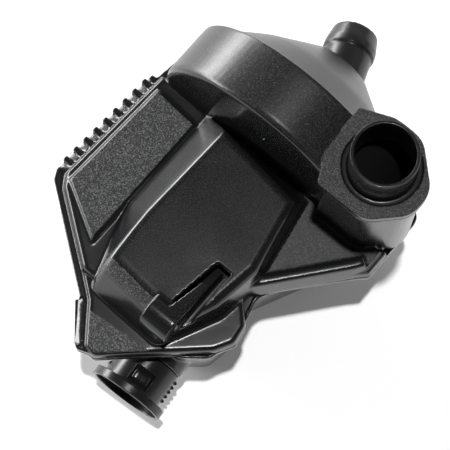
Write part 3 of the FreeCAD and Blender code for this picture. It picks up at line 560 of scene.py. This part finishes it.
class VALVE_OT_housings(bpy.types.Operator):
    """Dresses the two welded housings"""
    bl_idname = "valve.dress_housings"
    bl_label = "Housings"

    def execute(self, context):
        smooth = cloudy("housing_smooth", finish().plastic)
        front = soft_moulding("front_housing", "front_moulding", voxel=0.4 * MM, limit=195000)
        dress(front, "front_housing", HOUSING, "housing_plastic", smooth,
              grained("housing_grain_painted_glints"), grained("drum_grain_painted_glints"), grained("chamber_grain_painted_glints"))
        score(front, CHIN_START, CHIN_WAY)
        paint(front, GRAINED, on_grained_front)
        # Painted highlight: the grained finish on a leaning band of the chamber's rounded end
        paint(front, GRAINED, on_roll_painted_highlight)
        paint(front, BAND, on_drum_and_web)
        paint(front, FACE, on_chamber_face)
        fall_away(front, rib_ledge_reach, LEDGE_WIDTH, LEDGE_SLOPE)
        fall_away(front, chin_lip_reach, LIP_WIDTH, LIP_SLOPE)

        ribs = flange_ribs("flange_ribs")
        ribs.data.materials.append(smooth)
        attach(ribs, HOUSING)

        rear = soft_moulding("rear_housing", "rear_moulding", voxel=0.6 * MM, limit=150000)
        dress(rear, "rear_housing", HOUSING, "housing_plastic", smooth)
        return {"FINISHED"}


class VALVE_OT_inlet(bpy.types.Operator):
    """Dresses the inlet cover with its grained plate and smooth spigot"""
    bl_idname = "valve.dress_inlet"
    bl_label = "Inlet"

    def execute(self, context):
        cover = soft_moulding("inlet_cover", "inlet_moulding", voxel=0.25 * MM, limit=120000)
        dress(cover, "inlet_cover", HOUSING, "housing_plastic",
              cloudy("inlet_smooth", finish().plastic), grained("inlet_grain_painted_glints"))
        paint(cover, GRAINED, on_inlet_plate)
        return {"FINISHED"}


class VALVE_OT_cap(bpy.types.Operator):
    """Dresses the cap with its hose nipple"""
    bl_idname = "valve.dress_cap"
    bl_label = "Cap"

    def execute(self, context):
        cap = soft_moulding("diaphragm_cap", "cap_moulding", voxel=0.4 * MM, limit=150000)
        dress(cap, "diaphragm_cap", HOUSING, "cap_plastic", cloudy("cap_satin", finish().plastic))
        return {"FINISHED"}


class VALVE_OT_drain(bpy.types.Operator):
    """Dresses the drain's collar and seal"""
    bl_idname = "valve.dress_drain"
    bl_label = "Drain"

    def execute(self, context):
        collar = soft_moulding("drain_collar", "collar_moulding", voxel=0.2 * MM, limit=120000)
        dress(collar, "drain_collar", HOUSING, "collar_plastic",
              cloudy("collar_satin", finish().plastic))
        coat("drain_seal", cloudy("seal_rubber", finish().rubber))
        return {"FINISHED"}


class VALVE_OT_regulator(bpy.types.Operator):
    """Dresses the diaphragm, its plates, the spring, the clamp ring and the baffle"""
    bl_idname = "valve.dress_regulator"
    bl_label = "Regulator"

    def execute(self, context):
        plates = cloudy("natural_plastic", finish().natural)
        for node in ("diaphragm_plate", "backing_plate"):
            coat(node, plates)
        coat("diaphragm", cloudy("seal_rubber", finish().rubber))

        coil = merged_copy("regulator_spring", "regulator_coil")
        soften(coil)
        dress(coil, "regulator_spring", HOUSING, "spring_steel",
              cloudy("spring_steel", finish().steel))
        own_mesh(coil)

        inside = cloudy("inside_smooth", finish().plastic)
        for node in ("clamp_ring", "separator_baffle"):
            coat(node, inside)
        return {"FINISHED"}


def white_ground(name):
    """White that keeps its shadows and glows a little for the camera and in reflections."""
    made = Shading(name)
    path = made.node("ShaderNodeLightPath").outputs
    seen = made.math("MAXIMUM", path["Is Camera Ray"], path["Is Glossy Ray"])
    seen = made.math("MAXIMUM", seen, path["Is Transmission Ray"])
    light = made.node("ShaderNodeEmission")
    made.join(made.math("MULTIPLY", seen, stage().table_glow), light.inputs["Strength"])
    matt = made.node("ShaderNodeBsdfDiffuse", Color=(*stage().table_white, 1.0))
    both = made.node("ShaderNodeAddShader")
    made.join(matt.outputs[0], both.inputs[0])
    made.join(light.outputs[0], both.inputs[1])
    made.join(both.outputs[0], made.output.inputs["Surface"])
    return made.material


def table_top(name):
    mesh = bpy.data.meshes.new(name)
    shape = bmesh.new()
    bmesh.ops.create_grid(shape, x_segments=1, y_segments=1, size=stage().table_size / 2)
    shape.to_mesh(mesh)
    shape.free()
    mesh.materials.append(white_ground("table_white"))
    return linked(name, mesh)


def aim(thing, target):
    way = Vector(target) - thing.location
    thing.rotation_euler = way.to_track_quat("-Z", "Y").to_euler()


def area_lamp(name, side, size, power):
    """A soft light at one side of the valve, turned to it."""
    middle = Vector(stage().camera_target)
    lamp = bpy.data.lights.new(name, "AREA")
    lamp.shape = "RECTANGLE"
    lamp.size, lamp.size_y = size
    lamp.energy = power
    thing = linked(name, lamp)
    thing.location = middle + Vector(side)
    aim(thing, middle)


def sun(name, strength):
    """A distant light above and a little behind, as small as a flash lamp under the ceiling."""
    lamp = bpy.data.lights.new(name, "SUN")
    lamp.energy = strength
    lamp.angle = stage().spread
    thing = linked(name, lamp)
    thing.rotation_euler.x = -stage().lean
    return thing


def studio_room(name):
    """A room that is bright near the table's height, dark overhead and white behind the object."""
    world = bpy.data.worlds.new(name)
    world.use_nodes = True
    made = Nodes(world.node_tree, "ShaderNodeOutputWorld")
    coords = made.node("ShaderNodeTexCoord")
    height = made.node("ShaderNodeSeparateXYZ")
    made.join(coords.outputs["Generated"], height.inputs["Vector"])
    level = made.span(height.outputs["Z"], stage().horizon, stage().zenith, 0.0, stage().dusk)
    path = made.node("ShaderNodeLightPath")
    strength = made.math("MAXIMUM", level, path.outputs["Is Camera Ray"])
    ground = made.node("ShaderNodeBackground", Color=(1.0, 1.0, 1.0, 1.0))
    made.join(strength, ground.inputs["Strength"])
    made.join(ground.outputs["Background"], made.output.inputs["Surface"])
    return world


class VALVE_OT_stage(bpy.types.Operator):
    """Sets up the white table top, the lamps and the camera"""
    bl_idname = "valve.set_stage"
    bl_label = "Stage"

    def execute(self, context):
        scene = context.scene
        table = table_top("table_top")

        camera = linked("camera", bpy.data.cameras.new("camera"))
        camera.data.lens = stage().camera_lens
        camera.data.sensor_width = stage().camera_sensor
        camera.location = stage().camera_place
        aim(camera, stage().camera_target)
        scene.camera = camera

        sun("overhead", stage().overhead).visible_glossy = False
        sun("glint", stage().glint)
        area_lamp("rear", stage().rear_side, stage().rear_size, stage().rear_power)
        area_lamp("window", stage().window_side, stage().window_size, stage().window_power)
        scene.world = studio_room("studio")
        scene.view_settings.view_transform = "Standard"
        return {"FINISHED"}


class VALVE_PT_panel(bpy.types.Panel):
    """Lists the valve's steps"""
    bl_idname = "VALVE_PT_panel"
    bl_label = "Vent Valve"
    bl_space_type = "VIEW_3D"
    bl_region_type = "UI"
    bl_category = "Vent Valve"

    def draw(self, context):
        for step in STEPS:
            self.layout.operator(step.bl_idname)


STEPS = (VALVE_OT_housings, VALVE_OT_inlet, VALVE_OT_cap, VALVE_OT_drain, VALVE_OT_regulator,
         VALVE_OT_stage)
CLASSES = (ValveFinish, ValveStage, *STEPS, VALVE_PT_panel)


def register():
    for item in CLASSES:
        bpy.utils.register_class(item)
    bpy.types.Scene.valve_finish = bpy.props.PointerProperty(type=ValveFinish)
    bpy.types.Scene.valve_stage = bpy.props.PointerProperty(type=ValveStage)


def unregister():
    del bpy.types.Scene.valve_stage
    del bpy.types.Scene.valve_finish
    for item in reversed(CLASSES):
        bpy.utils.unregister_class(item)


def main():
    register()
    bpy.ops.valve.dress_housings()
    bpy.ops.valve.dress_inlet()
    bpy.ops.valve.dress_cap()
    bpy.ops.valve.dress_drain()
    bpy.ops.valve.dress_regulator()
    bpy.ops.valve.set_stage()


if __name__ == "__main__":
    main()
